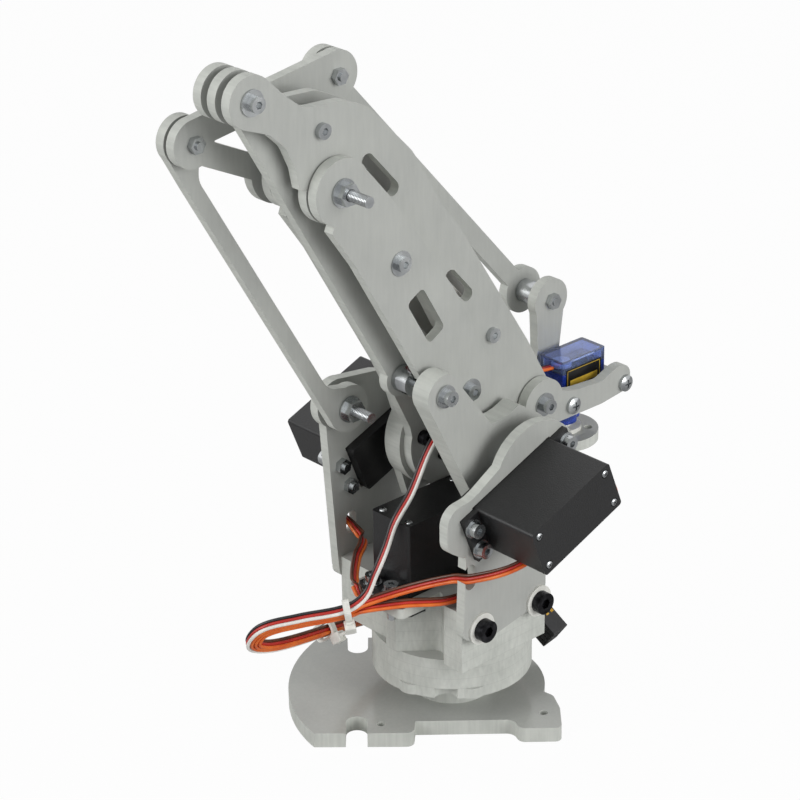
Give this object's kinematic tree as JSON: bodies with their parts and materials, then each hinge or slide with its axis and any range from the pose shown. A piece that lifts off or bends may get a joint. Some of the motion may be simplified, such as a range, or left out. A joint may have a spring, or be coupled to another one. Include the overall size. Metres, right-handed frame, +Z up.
{
  "type": "desktop robot arm",
  "caption": "Desktop palletizing robot arm of parallel sheet-plate links on a turning servo base, with a level wrist and a turning tool disc",
  "frame": {"origin": "on the turret's turning axis, at the underside of the base plate, at the base plate's centre hole", "axes": "+X forward along the arm, +Y to the arm's left, +Z up"},
  "size_m": [0.185, 0.1286, 0.2696],
  "materials": {
    "pvc_sheet": "flat sheet with machined edges",
    "servo_nylon": "moulded, finely textured",
    "motor_can": "plain drawn can",
    "aluminium_disc": "turned",
    "black_oxide_steel": "black oxide, slightly oily",
    "zinc_steel": "bright zinc",
    "white_nylon": "moulded",
    "wire_pvc": "extruded; three wires of their own colours side by side",
    "plug_nylon": "moulded",
    "blue_polycarbonate": "moulded, translucent"
  },
  "bodies": {
    "base": {"base_plate": "pvc_sheet", "column": "pvc_sheet", "column_screws": "black_oxide_steel", "base_output": "aluminium_disc"},
    "turret": {"turret_ring": "pvc_sheet", "turret_deck": "pvc_sheet", "side_plate_right": "pvc_sheet", "side_plate_left": "pvc_sheet", "side_bolts": "black_oxide_steel", "nylon_washers": "white_nylon", "follower_bolt": "zinc_steel", "base_servo_case": "servo_nylon", "right_servo_case": "servo_nylon", "left_servo_case": "servo_nylon", "servo_covers": "servo_nylon", "servo_motors": "motor_can", "servo_screws": "zinc_steel", "lead_base": "wire_pvc", "lead_right": "wire_pvc", "lead_left": "wire_pvc", "lead_wrist": "wire_pvc", "lead_plugs": "plug_nylon", "cable_ties": "white_nylon"},
    "lower_arm": {"lower_arm_output": "aluminium_disc", "lower_arm_hub": "pvc_sheet", "lower_arm_right": "pvc_sheet", "lower_arm_left": "pvc_sheet", "hub_bolts": "black_oxide_steel", "lower_arm_standoffs": "pvc_sheet", "lower_arm_screws": "zinc_steel", "elbow_bolt": "zinc_steel", "wrist_lead_lower": "wire_pvc"},
    "crank": {"crank_output": "aluminium_disc", "crank": "pvc_sheet", "crank_screws": "black_oxide_steel", "shoulder_pin": "zinc_steel"},
    "crank_pin": {"crank_pin": "zinc_steel"},
    "drive_link": {"drive_link": "pvc_sheet"},
    "triangle": {"triangle": "pvc_sheet", "triangle_screws": "zinc_steel"},
    "forearm": {"forearm_right": "pvc_sheet", "forearm_left": "pvc_sheet", "forearm_standoffs": "pvc_sheet", "forearm_screws": "zinc_steel", "rear_bolt": "zinc_steel", "wrist_lead_fore": "wire_pvc"},
    "follower_link": {"follower_link": "pvc_sheet"},
    "top_link": {"top_link": "pvc_sheet"},
    "wrist_bracket": {"bracket_right": "pvc_sheet", "bracket_left": "pvc_sheet", "bracket_bars": "pvc_sheet", "bracket_screws": "zinc_steel", "wrist_bolt": "zinc_steel", "level_bolt": "zinc_steel", "wrist_servo_case": "blue_polycarbonate", "wrist_servo_cover": "blue_polycarbonate", "wrist_lead_bracket": "wire_pvc"},
    "tool_flange": {"wrist_output": "white_nylon", "tool_disc": "pvc_sheet"}
  },
  "joints": [
    {"name": "base_yaw", "type": "hinge", "parent": "base", "child": "turret", "pos_m": [0, 0, 0.03], "axis": [0, 0, 1], "range_deg": [-90, 90]},
    {"name": "shoulder", "type": "hinge", "parent": "turret", "child": "lower_arm", "pos_m": [0.0087, 0, 0.1037], "axis": [0, 1, 0], "range_deg": [0, 80]},
    {"name": "crank_turn", "type": "hinge", "parent": "turret", "child": "crank", "pos_m": [0.0087, 0, 0.1037], "axis": [0, 1, 0], "range_deg": [-60, 0]},
    {"name": "crank_pin_turn", "type": "hinge", "parent": "crank", "child": "crank_pin", "pos_m": [-0.02456, 0, 0.14143], "axis": [0, 1, 0], "range_deg": [0, 60]},
    {"name": "drive_link_swing", "type": "hinge", "parent": "crank_pin", "child": "drive_link", "pos_m": [-0.02456, 0, 0.14143], "axis": [0, 1, 0], "range_deg": [0, 80]},
    {"name": "triangle_level", "type": "hinge", "parent": "lower_arm", "child": "triangle", "pos_m": [-0.05984, 0, 0.2229], "axis": [0, 1, 0], "range_deg": [-80, 0]},
    {"name": "forearm_swing", "type": "hinge", "parent": "triangle", "child": "forearm", "pos_m": [-0.05984, 0, 0.2229], "axis": [0, 1, 0], "range_deg": [-60, 0]},
    {"name": "top_link_swing", "type": "hinge", "parent": "triangle", "child": "top_link", "pos_m": [-0.03284, 0, 0.24907], "axis": [0, 1, 0], "range_deg": [-60, 0]},
    {"name": "follower_swing", "type": "hinge", "parent": "turret", "child": "follower_link", "pos_m": [-0.02653, 0, 0.12111], "axis": [0, 1, 0], "range_deg": [0, 80]},
    {"name": "wrist_level", "type": "hinge", "parent": "forearm", "child": "wrist_bracket", "pos_m": [0.03512, 0, 0.11518], "axis": [0, 1, 0], "range_deg": [0, 60]},
    {"name": "tool_turn", "type": "hinge", "parent": "wrist_bracket", "child": "tool_flange", "pos_m": [0.05862, 0.0008, 0.09338], "axis": [0, 0, 1], "range_deg": [-90, 90]}
  ],
  "couplings": [
    {"joint": "crank_pin_turn", "follows": "crank_turn", "ratio": -1},
    {"joint": "drive_link_swing", "follows": "shoulder", "ratio": 1},
    {"joint": "triangle_level", "follows": "shoulder", "ratio": -1},
    {"joint": "forearm_swing", "follows": "crank_turn", "ratio": 1},
    {"joint": "top_link_swing", "follows": "crank_turn", "ratio": 1},
    {"joint": "follower_swing", "follows": "shoulder", "ratio": 1},
    {"joint": "wrist_level", "follows": "crank_turn", "ratio": -1}
  ]
}
